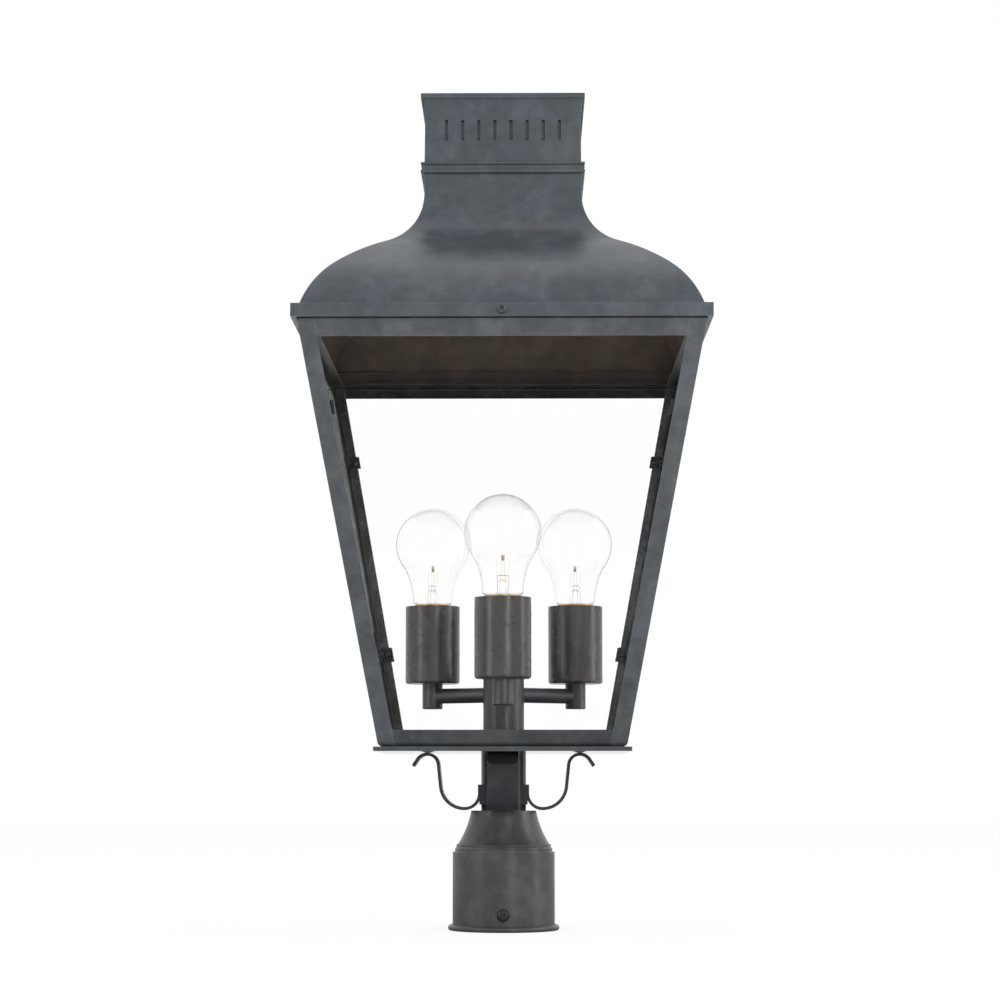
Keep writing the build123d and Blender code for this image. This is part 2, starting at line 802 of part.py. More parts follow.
# Eave band: a channel with an inward ledge above and a narrow lip below
with BuildSketch(Plane.XZ) as eave_section:
    ledge_half = roof_foot_half - eave_ledge_reach
    lip_half = seat_half + eave_lip_gap
    with Locations((eave_half, eave_foot)):
        Rectangle(eave_wall, eave_height, align=(Align.MAX, Align.MIN))
        Rectangle(eave_half - lip_half, eave_wall, align=(Align.MAX, Align.MIN))
    with Locations((eave_half, eave_top)):
        Rectangle(eave_half - ledge_half, eave_wall, align=(Align.MAX, Align.MAX))
with BuildPart() as eave_band:
    add(square_ring(mitred_side(eave_section.sketch)))
    with BuildSketch(Plane.XZ.offset(-eave_half)):
        with Locations((0, roof_screw_level)):
            Circle(roof_screw_radius + running_clearance)
    extrude(amount=2 * eave_half, mode=Mode.SUBTRACT)
write(eave_band.part, "eave_band")

# Roof screws, through the eave's front and back towards the seat
roof_screw = pan_screw(
    roof_screw_head_radius,
    roof_screw_head_height,
    roof_screw_radius,
    eave_reach + screw_head_gap - roof_screw_gap,
)
roof_screw_turns = {"front": side_turns["front"], "back": side_turns["back"]}
with BuildPart() as roof_screw_right:
    with Locations(Plane((eave_half + screw_head_gap, 0, roof_screw_level), z_dir=(1, 0, 0))):
        add(roof_screw)
write_turned(roof_screw_right.part, "roof_screw", roof_screw_turns)

# Set screws in the sleeve, withdrawn so that the bore is clear
set_screw = pan_screw(
    set_screw_head_radius,
    set_screw_head_height,
    set_screw_radius,
    set_screw_standoff + fitter_wall - set_screw_recoil,
)
with BuildPart() as set_screw_right:
    with Locations(Plane((sleeve_radius + set_screw_standoff, 0, set_screw_height), z_dir=(1, 0, 0))):
        add(set_screw)
write_turned(set_screw_right.part, "set_screw", lamp_turns)

# Chimney: four walls that flare to the lid, with a row of slots in each
with BuildSketch(Plane.XZ) as chimney_section:
    with BuildLine():
        waist_level = roof_top + chimney_waist_rise
        lower_wall = Line((chimney_foot_half, roof_top), (chimney_waist_half, waist_level))
        flare_half = chimney_waist_half + chimney_flare
        TangentArc(lower_wall @ 1, (flare_half, chimney_top), tangent=(0, 1))
        offset(amount=chimney_wall_thick, side=Side.LEFT)
    make_face()
    with Locations((0, roof_top)):
        Rectangle(flare_half, chimney_height, align=(Align.MIN, Align.MIN), mode=Mode.INTERSECT)
with BuildPart() as chimney_side:
    add(mitred_side(chimney_section.sketch))
    with BuildSketch(Plane.YZ):
        with Locations((0, chimney_top - slot_drop)):
            with GridLocations(slot_pitch, slot_pitch, slot_count, 1):
                SlotOverall(slot_length, slot_width, rotation=90)
    extrude(amount=eave_half, mode=Mode.SUBTRACT)
write(square_ring(chimney_side.part), "chimney_wall")

# Neck band: two ribs with a groove between them, round the joint of roof and chimney
band_inside = chimney_foot_half + band_gap
band_foot = roof_top - band_cover
groove_foot = band_foot + lower_rib_height
upper_rib_foot = groove_foot + band_groove_height
with BuildSketch(Plane.XZ) as band_section:
    with Locations((band_inside, band_foot)):
        Rectangle(band_thick, lower_rib_height, align=(Align.MIN, Align.MIN))
    with Locations((band_inside, groove_foot)):
        Rectangle(band_thick - band_groove_depth, band_groove_height, align=(Align.MIN, Align.MIN))
    with Locations((band_inside, upper_rib_foot)):
        Rectangle(band_thick, upper_rib_height, align=(Align.MIN, Align.MIN))
    fillet(band_section.vertices().group_by(Axis.X)[-1], band_round)
write(square_ring(mitred_side(band_section.sketch)), "neck_band")

# Chimney lid: a shallow pan turned over the flare
lid_inside = flare_half + lid_gap
lid_half = lid_inside + lid_skirt_wall
with BuildPart() as chimney_lid:
    with BuildSketch(Plane.XY.offset(chimney_top - lid_skirt)):
        Rectangle(2 * lid_half, 2 * lid_half)
    extrude(amount=lid_skirt + lid_thick)
    fillet(chimney_lid.edges().group_by(Axis.Z)[-1] + chimney_lid.edges().filter_by(Axis.Z), lid_round)
    with BuildSketch(Plane.XY.offset(chimney_top - lid_skirt)):
        Rectangle(2 * lid_inside, 2 * lid_inside)
    extrude(amount=lid_skirt, mode=Mode.SUBTRACT)
write(chimney_lid.part, "chimney_lid")
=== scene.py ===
import json
import math

import bpy
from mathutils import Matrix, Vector


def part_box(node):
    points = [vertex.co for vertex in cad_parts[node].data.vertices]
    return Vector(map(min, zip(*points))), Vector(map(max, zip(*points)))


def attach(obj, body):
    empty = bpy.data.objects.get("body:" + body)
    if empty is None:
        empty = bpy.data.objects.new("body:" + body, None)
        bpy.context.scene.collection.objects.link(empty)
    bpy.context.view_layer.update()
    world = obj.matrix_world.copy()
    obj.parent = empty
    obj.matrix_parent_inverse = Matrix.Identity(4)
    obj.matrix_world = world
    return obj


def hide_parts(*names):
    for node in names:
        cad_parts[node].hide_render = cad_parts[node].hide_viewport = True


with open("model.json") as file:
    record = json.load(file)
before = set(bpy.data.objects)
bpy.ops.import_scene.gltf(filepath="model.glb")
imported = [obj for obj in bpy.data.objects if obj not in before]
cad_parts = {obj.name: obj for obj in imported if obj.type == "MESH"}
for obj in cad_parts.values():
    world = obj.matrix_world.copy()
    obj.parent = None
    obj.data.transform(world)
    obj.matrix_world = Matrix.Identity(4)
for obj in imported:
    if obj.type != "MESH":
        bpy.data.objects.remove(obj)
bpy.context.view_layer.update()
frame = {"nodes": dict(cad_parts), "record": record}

# Post top lantern: dark patinated sheet metal, clear glass on four sides, three clear bulbs.
mm = 0.001
white = (1, 1, 1, 1)
print("frame loaded:", len(frame["nodes"]), "nodes")


def toLinear(hexColour):
    channels = [int(hexColour[i:i + 2], 16) / 255 for i in (1, 3, 5)]
    linear = [c / 12.92 if c <= 0.04045 else ((c + 0.055) / 1.055) ** 2.4 for c in channels]
    return (*linear, 1.0)


def addNode(tree, kind, inputs=None, **settings):
    node = tree.nodes.new(kind)
    for name, value in settings.items():
        setattr(node, name, value)
    for name, value in (inputs or {}).items():
        if isinstance(value, bpy.types.NodeSocket):
            tree.links.new(value, node.inputs[name])
        else:
            node.inputs[name].default_value = value
    return node


def newMaterial(name):
    material = bpy.data.materials.new(name)
    material.use_nodes = True
    material.node_tree.nodes.clear()
    return material, material.node_tree


def rampOf(tree, factor, stops):
    ramp = addNode(tree, "ShaderNodeValToRGB", {"Fac": factor})
    elements = ramp.color_ramp.elements
    while len(elements) < len(stops):
        elements.new(0.5)
    for element, (place, colour) in zip(elements, stops):
        element.position = place
        element.color = toLinear(colour)
    return ramp


def deselectAll():
    if bpy.context.object and bpy.context.object.mode != "OBJECT":
        bpy.ops.object.mode_set(mode="OBJECT")
    bpy.ops.object.select_all(action="DESELECT")


def makeActive(piece):
    deselectAll()
    piece.select_set(True)
    bpy.context.view_layer.objects.active = piece


# The larger of two values, in a node tree
def larger(tree, one, other):
    return addNode(tree, "ShaderNodeMath", {0: one, 1: other}, operation="MAXIMUM").outputs[0]


patina = {
    "deepTone": "#434a4f",
    "bodyTone": "#495056",
    "paleTone": "#535a61",
    "hueTone": "#4c4f50",     # a warmer grey that comes through in wide patches
    "hueShare": 0.5,
    "edgeWearAndHighlightTone": "#858c91",
    "cloudSize": 26 * mm,     # soft clouds left by the dipping bath
    "mottleSize": 9 * mm,     # smaller blots inside them
    "hueSize": 38 * mm,
    "grainSize": 1.1 * mm,    # lacquer grain, coarser than real so that it shows
    "grainDepth": 0.01 * mm,
    "edgeWidth": 0.7 * mm,    # how far the paler edges reach: rubbed wear and painted highlight
    "edgeShare": 1.0,
    "toneStops": (0.36, 0.49, 0.63),
    "roughLow": 0.28,
    "roughHigh": 0.40,
    "metallic": 0.15,
    "specular": 0.4,
}


# Patinated steel sheet under satin lacquer: blue-grey clouds, broad soft highlights, edges paler, partly
# rubbed wear and partly painted highlight
def patinatedSteel(name, changes=None):
    look = dict(patina, **(changes or {}))
    material, tree = newMaterial(name)
    place = addNode(tree, "ShaderNodeTexCoord").outputs["Object"]
    clouds = addNode(tree, "ShaderNodeTexNoise", {
        "Vector": place, "Scale": 1 / look["cloudSize"],
        "Detail": 3.0, "Roughness": 0.5, "Distortion": 0.2})
    mottles = addNode(tree, "ShaderNodeTexNoise", {
        "Vector": place, "Scale": 1 / look["mottleSize"],
        "Detail": 4.0, "Roughness": 0.55, "Distortion": 0.2})
    grain = addNode(tree, "ShaderNodeTexNoise", {
        "Vector": place, "Scale": 1 / look["grainSize"], "Detail": 2.0, "Roughness": 0.6})
    blend = addNode(tree, "ShaderNodeMix", {
        "Factor": 0.5, "A": clouds.outputs["Fac"], "B": mottles.outputs["Fac"]}, data_type="FLOAT")
    tones = look["deepTone"], look["bodyTone"], look["paleTone"]
    colour = rampOf(tree, blend.outputs["Result"], list(zip(look["toneStops"], tones)))
    patches = addNode(tree, "ShaderNodeTexNoise", {
        "Vector": place, "Scale": 1 / look["hueSize"], "Detail": 2.0, "Roughness": 0.5, "Distortion": 0.4})
    hueFade = addNode(tree, "ShaderNodeMapRange", {
        "Value": patches.outputs["Fac"], "From Min": 0.42, "From Max": 0.62, "To Min": 0.0,
        "To Max": look["hueShare"]})
    tinted = addNode(tree, "ShaderNodeMix", {
        "Factor": hueFade.outputs["Result"]}, data_type="RGBA", blend_type="COLOR")
    tree.links.new(colour.outputs["Color"], tinted.inputs["A"])
    tinted.inputs["B"].default_value = toLinear(look["hueTone"])
    # Paler edges: rubbed wear, and a painted highlight where light catches the rounded edges
    rounded = addNode(tree, "ShaderNodeBevel", {"Radius": look["edgeWidth"]}, samples=4)
    flat = addNode(tree, "ShaderNodeNewGeometry").outputs["Normal"]
    facing = addNode(tree, "ShaderNodeVectorMath", {
        0: rounded.outputs["Normal"], 1: flat}, operation="DOT_PRODUCT")
    edge = addNode(tree, "ShaderNodeMapRange", {
        "Value": facing.outputs["Value"], "From Min": 0.99, "From Max": 0.80, "To Min": 0.0,
        "To Max": look["edgeShare"]})
    edgeWearAndHighlight = addNode(tree, "ShaderNodeMath", {
        0: edge.outputs["Result"], 1: mottles.outputs["Fac"]}, operation="MULTIPLY")
    paint = addNode(tree, "ShaderNodeMix", {"Factor": edgeWearAndHighlight.outputs[0]}, data_type="RGBA")
    tree.links.new(tinted.outputs["Result"], paint.inputs["A"])
    paint.inputs["B"].default_value = toLinear(look["edgeWearAndHighlightTone"])
    rough = addNode(tree, "ShaderNodeMapRange", {
        "Value": mottles.outputs["Fac"], "From Min": 0.3, "From Max": 0.7,
        "To Min": look["roughLow"], "To Max": look["roughHigh"]})
    bump = addNode(tree, "ShaderNodeBump", {
        "Strength": 0.4, "Distance": look["grainDepth"], "Height": grain.outputs["Fac"]})
    shader = addNode(tree, "ShaderNodeBsdfPrincipled", {
        "Base Color": paint.outputs["Result"], "Metallic": look["metallic"],
        "Specular IOR Level": look["specular"],
        "Roughness": rough.outputs["Result"], "Normal": bump.outputs["Normal"]})
    addNode(tree, "ShaderNodeOutputMaterial", {"Surface": shader.outputs["BSDF"]})
    return material


clearGlass = {
    "smearSize": 60 * mm,
    "mirrorTint": "#4a4a4a",    # holds the mirroring back
    "rimShadeTone": "#f8f6f2",       # painted shade: a faint warm grey where the glass is seen edge on
    "rimStart": 0.55,
    "rimStop": 0.8,
}


# Soda-lime glass: almost invisible, with faint smears in its gloss. Lamps and soft light pass through it
def sodaLimeGlass(name, roughHigh=0.0):
    material, tree = newMaterial(name)
    place = addNode(tree, "ShaderNodeTexCoord").outputs["Object"]
    smears = addNode(tree, "ShaderNodeTexNoise", {
        "Vector": place, "Scale": 1 / clearGlass["smearSize"], "Detail": 3.0, "Roughness": 0.5})
    rough = addNode(tree, "ShaderNodeMapRange", {
        "Value": smears.outputs["Fac"],
        "From Min": 0.4, "From Max": 0.75, "To Min": 0.0, "To Max": roughHigh})
    # Painted shade: the glass turns a faint warm grey where it is seen edge on
    edgeOn = addNode(tree, "ShaderNodeMapRange", {
        "Value": addNode(tree, "ShaderNodeLayerWeight", {"Blend": 0.5}).outputs["Facing"],
        "From Min": clearGlass["rimStart"], "From Max": 1.0, "To Min": 0.0, "To Max": 1.0})
    rim = rampOf(tree, edgeOn.outputs["Result"], [
        (0.0, "#ffffff"), (clearGlass["rimStop"], clearGlass["rimShadeTone"])])
    shader = addNode(tree, "ShaderNodeBsdfPrincipled", {
        "Base Color": rim.outputs["Color"], "Roughness": rough.outputs["Result"],
        "IOR": 1.52, "Specular Tint": toLinear(clearGlass["mirrorTint"]), "Transmission Weight": 1.0})
    path = addNode(tree, "ShaderNodeLightPath")
    light = larger(tree, path.outputs["Is Shadow Ray"], path.outputs["Is Diffuse Ray"])
    through = addNode(tree, "ShaderNodeBsdfTransparent", {"Color": white})
    mixed = addNode(tree, "ShaderNodeMixShader", {
        0: light, 1: shader.outputs["BSDF"], 2: through.outputs["BSDF"]})
    addNode(tree, "ShaderNodeOutputMaterial", {"Surface": mixed.outputs["Shader"]})
    return material


smallParts = {
    "grainSize": 1.2 * mm,    # marks of drawing and tumbling, coarser than real so that they show
    "grainDepth": 0.02 * mm,
    "toneStops": (0.35, 0.65),
    "roughLow": 0.35,
    "roughHigh": 0.5,
    "metallic": 1.0,
}


# Small drawn, turned or fired parts: a fine grain between two tones, which breaks up their gloss
def workedMetal(name, deepTone, paleTone, changes):
    look = dict(smallParts, **changes)
    material, tree = newMaterial(name)
    place = addNode(tree, "ShaderNodeTexCoord").outputs["Object"]
    grain = addNode(tree, "ShaderNodeTexNoise", {
        "Vector": place, "Scale": 1 / look["grainSize"], "Detail": 4.0, "Roughness": 0.6})
    colour = rampOf(tree, grain.outputs["Fac"], list(zip(look["toneStops"], (deepTone, paleTone))))
    rough = addNode(tree, "ShaderNodeMapRange", {
        "Value": grain.outputs["Fac"], "From Min": 0.3, "From Max": 0.7,
        "To Min": look["roughLow"], "To Max": look["roughHigh"]})
    bump = addNode(tree, "ShaderNodeBump", {
        "Strength": 0.3, "Distance": look["grainDepth"], "Height": grain.outputs["Fac"]})
    shader = addNode(tree, "ShaderNodeBsdfPrincipled", {
        "Base Color": colour.outputs["Color"], "Metallic": look["metallic"],
        "Roughness": rough.outputs["Result"], "Normal": bump.outputs["Normal"]})
    addNode(tree, "ShaderNodeOutputMaterial", {"Surface": shader.outputs["BSDF"]})
    return material


# Roof, chimney and eave, dipped sheet: soft blue-grey clouds under a satin sheen
graphiteSheet = patinatedSteel("PatinatedRoofSheet")
# Posts and top rails, the same sheet lightened as painted light: a little paler and more neutral
cageSheet = patinatedSteel("PatinatedCageSheet", {
    "deepTone": "#4a4e52", "bodyTone": "#53575c", "paleTone": "#5e6368", "hueTone": "#56585a"})
# Bottom rails and base plate, the same sheet darkened as painted shade: deep grey, with fainter clouds
footSheet = patinatedSteel("DarkPatinatedFootSheet", {
    "deepTone": "#3f4246", "bodyTone": "#45494d", "paleTone": "#4e5257", "hueTone": "#47494a"})
# The plate's underside, rolled flat: smooth enough to mirror the white floor at a glancing look; it keeps
# the foot sheet's darker tones, which are painted shade
plateUnderside = patinatedSteel("SmoothPlateUnderside", {
    "deepTone": "#3f4246", "bodyTone": "#45494d", "paleTone": "#4e5257", "hueTone": "#47494a",
    "grainDepth": 0.001 * mm, "roughLow": 0.04, "roughHigh": 0.08})
# Fitter and neck, spun on a lathe: a warmer grey in wider clouds
spunFitter = patinatedSteel("PatinatedSpunFitter", {
    "deepTone": "#414443", "bodyTone": "#484b4b", "paleTone": "#545757", "hueTone": "#4c4b47",
    "cloudSize": 34 * mm})
# Scrolls and lower column, the strip darkened as painted shade under the plate: nearly black, with pale
# edges of rubbed wear and painted highlight
shadedBentStrip = patinatedSteel("ShadedBentStrip", {
    "deepTone": "#303336", "bodyTone": "#36393d", "paleTone": "#3e4145", "hueTone": "#393938",
    "edgeWearAndHighlightTone": "#77756f"})
# Inner faces of the rails, painted shade: dull and nearly black, with bright edges of rubbed wear and
# painted highlight
cageShadeLining = patinatedSteel("PaintedShadeCageLining", {
    "deepTone": "#191817", "bodyTone": "#282726", "paleTone": "#3d3c3b", "hueTone": "#2a2724",
    "edgeWearAndHighlightTone": "#a3a5a5", "roughLow": 0.35, "roughHigh": 0.5, "specular": 0.15, "metallic": 0.0,
    "mottleSize": 4 * mm})
# Inner faces of the posts, painted shade: dark speckles, with bright edges of rubbed wear and painted
# highlight
postShadeLining = patinatedSteel("PaintedShadePostLining", {
    "deepTone": "#2c2b2a", "bodyTone": "#3f4041", "paleTone": "#565859", "hueTone": "#403d39",
    "edgeWearAndHighlightTone": "#b9bbbb", "roughLow": 0.35, "roughHigh": 0.5, "specular": 0.3, "mottleSize": 4 * mm})
# Inside of the roof, browned by heat: warm and without gloss
roofLining = patinatedSteel("BrownedSteelLining", {
    "deepTone": "#4c423a", "bodyTone": "#554b43", "paleTone": "#5f544b", "hueTone": "#5a4a3d",
    "edgeWearAndHighlightTone": "#5a4c42", "metallic": 0.0, "specular": 0.08, "roughLow": 0.4, "roughHigh": 0.55})
# Socket covers, enamelled tube: an even warm grey with upright streaks of light
clusterTube = patinatedSteel("WarmGreyEnamelledTube", {
    "deepTone": "#40403e", "bodyTone": "#434341", "paleTone": "#474744", "hueTone": "#45403b",
    "edgeWearAndHighlightTone": "#6a6a66", "cloudSize": 60 * mm, "mottleSize": 22 * mm, "grainDepth": 0.006 * mm,
    "roughLow": 0.26, "roughHigh": 0.29})
# Arms, hubs and cluster column: the same enamel, darker and cooler
hubCasting = patinatedSteel("DarkEnamelledHub", {
    "deepTone": "#3a3d40", "bodyTone": "#3f4246", "paleTone": "#45484b", "hueTone": "#40413f",
    "edgeWearAndHighlightTone": "#66686a", "mottleSize": 14 * mm, "grainDepth": 0.006 * mm})
paneGlass = sodaLimeGlass("DrawnWindowGlass", roughHigh=0.02)    # clear, with faint waves of gloss
blownGlass = sodaLimeGlass("BlownBulbGlass")                     # clear, with a thin painted rim shade of grey
# Cut edges of the panes, ground: a pale, frosty line
groundEdge = workedMetal("GroundGlassEdge", "#9aa3a0", "#c3cbc8", {
    "roughLow": 0.45, "roughHigh": 0.65, "metallic": 0.0})
# Bases and shells, rolled brass: a warm golden shine under the bulbs
brass = workedMetal("RolledBrass", "#a07a3e", "#c79f5a", {
    "grainSize": 1.5 * mm, "roughLow": 0.25, "roughHigh": 0.4})
# Screws and nuts, blackened: dark, with small glints
darkSteel = workedMetal("BlackenedScrewSteel", "#26282a", "#4e5154", {
    "roughLow": 0.28, "roughHigh": 0.42, "metallic": 0.8})
# Clips and the bulbs' insulators, enamelled: black with a dull gloss
blackClip = workedMetal("BlackEnamelledClip", "#141414", "#222222", {"grainSize": 2 * mm, "metallic": 0.2})
# Lampholders, glazed: white and glossy
porcelain = workedMetal("GlazedPorcelain", "#d9d6cc", "#e6e3da", {
    "grainSize": 8 * mm, "roughLow": 0.15, "roughHigh": 0.25, "metallic": 0.0})
# The bulb base's tip, soldered: a soft dull grey
tinSolder = workedMetal("DullTinSolder", "#8f8f8c", "#a9a9a5", {"grainSize": 1.0 * mm})
# Leads and supports, tinted by the heat: straw-coloured glints
nickelWire = workedMetal("HeatTintedNickelWire", "#b0955f", "#cfb585", {
    "grainSize": 0.8 * mm, "roughLow": 0.2, "roughHigh": 0.35})
# Wires through the stem, clad in copper: reddish gold arches
copperWire = workedMetal("CopperCladSealWire", "#c98f45", "#e8b56a", {
    "grainSize": 0.8 * mm, "roughLow": 0.25, "roughHigh": 0.4})
# The coil, drawn wire: a brownish gold spot
tungsten = workedMetal("DrawnTungstenWire", "#8d6a3a", "#b58c52", {"grainSize": 0.6 * mm, "roughLow": 0.3})
print("materials made")


slotMaterials = {
    "graphite_metal": graphiteSheet,
    "cluster_metal": clusterTube,
    "pane_glass": paneGlass,
    "bulb_glass": blownGlass,
    "brass": brass,
    "lamp_stem": blownGlass,
    "ceramic": porcelain,
    "black_clip": blackClip,
    "steel": darkSteel,
}
slotOf = {entry["node"]: entry["material_slot"] for entry in frame["record"]["subparts"]}
sheetOf = {    # pieces whose finish differs from the rest of their slot, by the start of their names
    "post_sleeve": spunFitter,
    "fitter_neck": spunFitter,
    "post_": cageSheet,
    "top_rail": cageSheet,
    "bottom_rail": footSheet,
    "base_plate": footSheet,
    "lower_column": shadedBentStrip,
    "scroll": shadedBentStrip,
    "arm_hubs": hubCasting,
    "lamp_arms": hubCasting,
    "cluster_column": hubCasting,
    "column_cap": hubCasting,
    "roof_screw": footSheet,
}
for nodeName, piece in frame["nodes"].items():
    finish = [sheet for start, sheet in sheetOf.items() if nodeName.startswith(start)]
    piece.data.materials.clear()
    piece.data.materials.append(finish[0] if finish else slotMaterials[slotOf[nodeName]])

linings = {
    "roofMiddle": Vector((0, 0, 0.42)),      # points that the inside faces look towards
    "windowMiddle": Vector((0, 0, 0.3)),
    "everywhere": 1.0,                       # further out than any piece
    "eaveLedge": 151 * mm,                   # the eave is lined no further out than this
    "edgeOn": 0.9,                           # a pane's face whose normal lies below this is an edge
    "facingDown": -0.99,
}


# Inside faces take a lining: those that look towards the middle, no further out than reach
def lineInside(piece, lining, middle, reach):
    piece.data.materials.append(lining)
    for face in piece.data.polygons:
        out = max(abs(face.center.x), abs(face.center.y))
        if out < reach and face.normal.dot(middle - face.center) > 0:
            face.material_index = 1


for nodeName, piece in frame["nodes"].items():
    if nodeName.startswith(("roof_panel_", "roof_seat")):
        lineInside(piece, roofLining, linings["roofMiddle"], linings["everywhere"])
    elif nodeName == "eave_band":
        lineInside(piece, roofLining, linings["roofMiddle"], linings["eaveLedge"])
    # Inner faces of posts and rails take a lining of painted shade
    elif nodeName.startswith(("post_front", "post_back")):
        lineInside(piece, postShadeLining, linings["windowMiddle"], linings["everywhere"])
    elif nodeName.startswith(("top_rail", "bottom_rail")):
        lineInside(piece, cageShadeLining, linings["windowMiddle"], linings["everywhere"])
    elif nodeName == "base_plate":
        piece.data.materials.append(plateUnderside)
        for face in piece.data.polygons:
            face.material_index = int(face.normal.z < linings["facingDown"])
    elif nodeName.startswith("pane_"):
        across = 0 if nodeName in ("pane_left", "pane_right") else 1
        piece.data.materials.append(groundEdge)
        for face in piece.data.polygons:
            face.material_index = int(abs(face.normal[across]) < linings["edgeOn"])

recess = {
    "reach": 2.7 * mm,
    "shallow": 0.25 * mm,
    "deep": 2.0 * mm,
}
# The cross recess of a painted roof screw takes black paint, a painted shade in the recess
for side, front in (("front", -1), ("back", 1)):
    piece = frame["nodes"]["roof_screw_" + side]
    low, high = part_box("roof_screw_" + side)
    level = (low[2] + high[2]) / 2
    headTop = low[1] if front < 0 else high[1]
    piece.data.materials.append(blackClip)
    for face in piece.data.polygons:
        near = math.hypot(face.center.x, face.center.z - level) < recess["reach"]
        depth = (headTop - face.center.y) * front
        if near and recess["shallow"] < depth < recess["deep"]:
            face.material_index = 1
print("CAD nodes painted")


mergeReach = 0.005 * mm


# A line of points, made by dragging one vertex out, point after point
def drawLine(name, points):
    deselectAll()
    bpy.ops.mesh.primitive_plane_add(size=mm, location=points[0])
    piece = bpy.context.object
    piece.name = name
    bpy.ops.object.transform_apply(location=True)
    bpy.ops.object.mode_set(mode="EDIT")
    bpy.ops.mesh.merge(type="CENTER")
    for here, there in zip(points, points[1:]):
        step = [there[i] - here[i] for i in range(3)]
        bpy.ops.mesh.extrude_region_move(TRANSFORM_OT_translate={"value": step})
    bpy.ops.mesh.select_all(action="SELECT")
    return piece


# A turned shape: half its outline, spun about an upright axis
def turnOnLathe(name, outline, centre, steps):
    points = [(centre[0] + radius, centre[1], level) for radius, level in outline]
    piece = drawLine(name, points)
    bpy.ops.mesh.spin(steps=steps, angle=2 * math.pi, center=(centre[0], centre[1], 0), axis=(0, 0, 1))
    bpy.ops.mesh.select_all(action="SELECT")
    bpy.ops.mesh.remove_doubles(threshold=mergeReach)
    bpy.ops.mesh.normals_make_consistent(inside=False)
    bpy.ops.object.mode_set(mode="OBJECT")
    bpy.ops.object.shade_smooth()
    return piece


# A round wire along a line of points
def drawWire(name, points, radius, roundness):
    piece = drawLine(name, points)
    bpy.ops.object.mode_set(mode="OBJECT")
    bpy.ops.object.convert(target="CURVE")
    piece = bpy.context.object
    piece.data.bevel_depth = radius
    piece.data.bevel_resolution = roundness
    piece.data.use_fill_caps = True
    bpy.ops.object.convert(target="MESH")
    bpy.ops.object.shade_smooth()
    return bpy.context.object


def joinPieces(name, pieces):
    makeActive(pieces[0])
    for piece in pieces:
        piece.select_set(True)
    bpy.ops.object.join()
    joined = bpy.context.object
    joined.name = name
    return joined


def placeCopy(model, name, move, turn):
    makeActive(model)
    bpy.ops.object.duplicate()
    piece = bpy.context.object
    piece.name = name
    piece.rotation_euler = (0, 0, turn)
    piece.location = move
    bpy.ops.object.transform_apply(location=True, rotation=True)
    return piece


def arcPoints(centre, radius, start, end, count):
    spread = [math.radians(start + (end - start) * i / count) for i in range(count + 1)]
    return [(centre[0] + radius * math.cos(a), centre[1] + radius * math.sin(a)) for a in spread]


bulb = {
    "ballRadius": 30.15 * mm,
    "ballLevel": 50.75 * mm,     # above the cover's rim, as all levels here
    "neckRadius": 16.2 * mm,
    "neckLevel": 4.8 * mm,
    "mouthRadius": 13.0 * mm,
    "mouthLevel": -1.6 * mm,
    "glassWall": 0.2 * mm,
    "lathedSteps": 72,
    "shoulderSteps": 7,
    "waistSteps": 16,
    "ballSteps": 30,
}


# The glass: a ball that runs into a waisted neck, then a round shoulder down to the mouth
def makeBulbGlass(name):
    rise = bulb["ballLevel"] - bulb["neckLevel"]
    neck, ball = bulb["neckRadius"], bulb["ballRadius"]
    waist = (neck ** 2 + rise ** 2 - ball ** 2) / (2 * (ball - neck))
    lean = math.degrees(math.asin(rise / (ball + waist)))
    mouth, level = bulb["mouthRadius"], bulb["neckLevel"]
    outline = [(mouth, bulb["mouthLevel"])]
    outline += arcPoints((mouth, level), neck - mouth, -90, 0, bulb["shoulderSteps"])
    outline += arcPoints((neck + waist, level), waist, 180, 180 - lean, bulb["waistSteps"])[1:]
    outline += arcPoints((0, bulb["ballLevel"]), ball, -lean, 90, bulb["ballSteps"])[1:]
    outline[-1] = (0, outline[-1][1])
    glass = turnOnLathe(name, outline, (0, 0), bulb["lathedSteps"])
    wall = glass.modifiers.new("wall", "SOLIDIFY")
    wall.thickness = bulb["glassWall"]
    wall.offset = -1
    bpy.ops.object.modifier_apply(modifier="wall")
    return glass


lampBase = {
    "radius": 12.9 * mm,
    "threadPitch": 3.63 * mm,
    "threadRidge": 0.42 * mm,
    "threadTop": -6.0 * mm,
    "threadFoot": -22.0 * mm,
    "collar": [(1.55, 1.3), (1.7, 1.4), (1.8, 1.1), (1.1, -1.4), (0.25, -3.2)],    # mm out, mm up
    "coneTop": -24.7 * mm,
    "coneFoot": -28.6 * mm,
    "coneRadius": 6.5 * mm,
    "coneDraw": 0.5 * mm,
    "tipRadius": 4.4 * mm,
    "tipFoot": -29.45 * mm,
    "tipRound": (0.7 * mm, 0.4 * mm),
    "ringsPerTurn": 12,
    "lathedSteps": 48,
}


